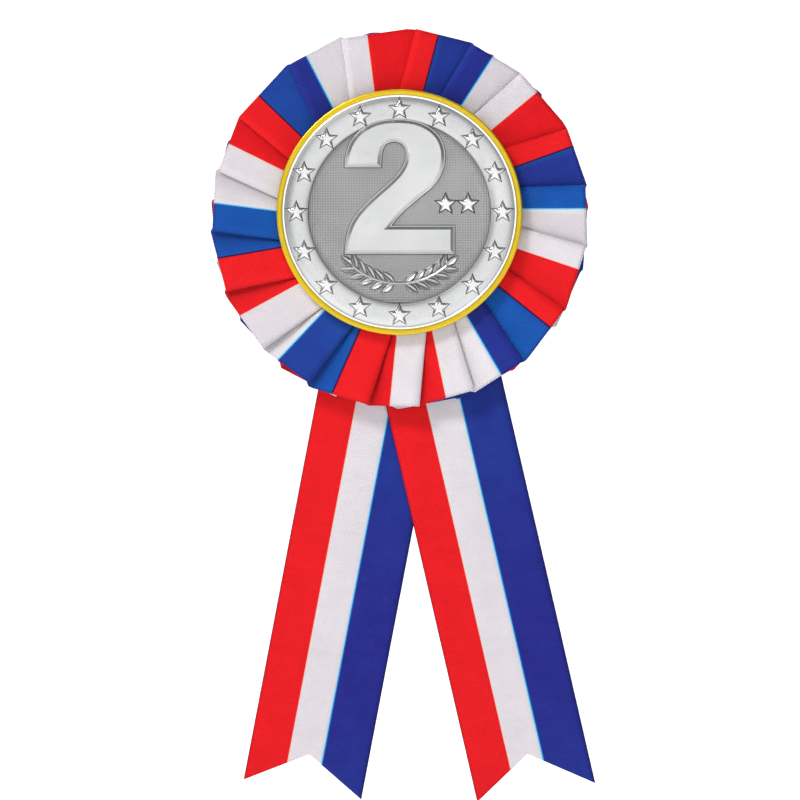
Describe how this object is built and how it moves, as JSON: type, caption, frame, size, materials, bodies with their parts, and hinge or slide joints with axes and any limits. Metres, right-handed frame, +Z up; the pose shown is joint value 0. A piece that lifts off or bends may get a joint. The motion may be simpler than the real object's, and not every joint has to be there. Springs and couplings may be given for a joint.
{
  "type": "award ribbon",
  "caption": "Award rosette: two pleated tricolour ribbon ruffles behind a struck silver medallion in a gold rim, two swallowtail tails and a bar pin.",
  "frame": {"origin": "middle of the back card's rear face, on the axis of the ruffles", "axes": "+Z up along the hanging tails, -Y out of the medallion's face towards the viewer, +X to the viewer's right"},
  "size_m": [0.0996, 0.0224, 0.2009],
  "materials": {
    "satin_ribbon": "striped satin ribbon, soft sheen",
    "thread": "matt cotton thread",
    "board": "white pressed card",
    "foam": "closed-cell foam, double-sided tape",
    "gold": "bright gold plated rim",
    "silver": "antique silver plate, polished highlights",
    "steel": "nickel-plated steel"
  },
  "bodies": {
    "root": {"medallion_cup": "gold", "medallion_insert": "silver", "foam_pad": "foam", "front_ruffle": "satin_ribbon", "front_thread": "thread", "front_board": "board", "rear_ruffle": "satin_ribbon", "rear_thread": "thread", "hub_disc": "board", "centre_board": "board", "tail_left_upper": "satin_ribbon", "tail_right_upper": "satin_ribbon", "staple_upper": "steel", "staple_lower": "steel", "tape_ring": "foam", "back_card": "board", "pin_pad": "foam", "pin_bar": "steel", "pin_rivet": "steel"},
    "tail_left": {"tail_left_lower": "satin_ribbon"},
    "tail_right": {"tail_right_lower": "satin_ribbon"},
    "needle": {"pin_needle": "steel"},
    "catch": {"pin_catch": "steel"}
  },
  "joints": [
    {"name": "tail_left_sway", "type": "hinge", "parent": "root", "child": "tail_left", "pos_m": [-0.00665, -0.0024, -0.051], "axis": [1, 0, 0], "range_deg": [0, 45]},
    {"name": "tail_right_sway", "type": "hinge", "parent": "root", "child": "tail_right", "pos_m": [0.01291, -0.0031, -0.051], "axis": [-1, 0, 0], "range_deg": [0, 75]},
    {"name": "needle_swing", "type": "hinge", "parent": "root", "child": "needle", "pos_m": [-0.013, 0.00615, 0.011], "axis": [0, 0, 1], "range_deg": [0, 75]},
    {"name": "catch_turn", "type": "hinge", "parent": "root", "child": "catch", "pos_m": [0.0122, 0.00615, 0.011], "axis": [-1, 0, 0], "range_deg": [0, 120]}
  ]
}
